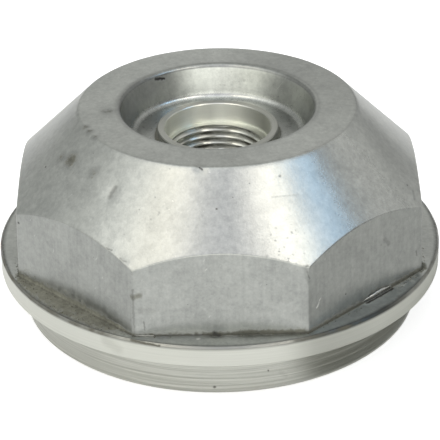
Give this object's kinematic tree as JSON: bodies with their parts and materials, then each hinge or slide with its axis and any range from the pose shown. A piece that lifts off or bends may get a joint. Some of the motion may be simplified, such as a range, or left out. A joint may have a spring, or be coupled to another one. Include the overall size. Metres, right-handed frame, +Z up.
{
  "type": "hub grease cap",
  "caption": "Cast aluminium hub grease cap: octagonal wrench body with a conical shoulder, round flange over a threaded spigot, and a tapped boss in a deep top recess.",
  "frame": {"origin": "centre of the open end of the spigot, on the surface that the cap stands on", "axes": "+Z up the axis, from the spigot to the flat top; -Y square to one wrench flat"},
  "size_m": [0.1232, 0.1232, 0.0586],
  "materials": {
    "cast_aluminium": "dull die cast skin, turned on the flange, the spigot, the boss and its bore"
  },
  "bodies": {
    "root": {"hub_cap": "cast_aluminium"}
  },
  "joints": []
}
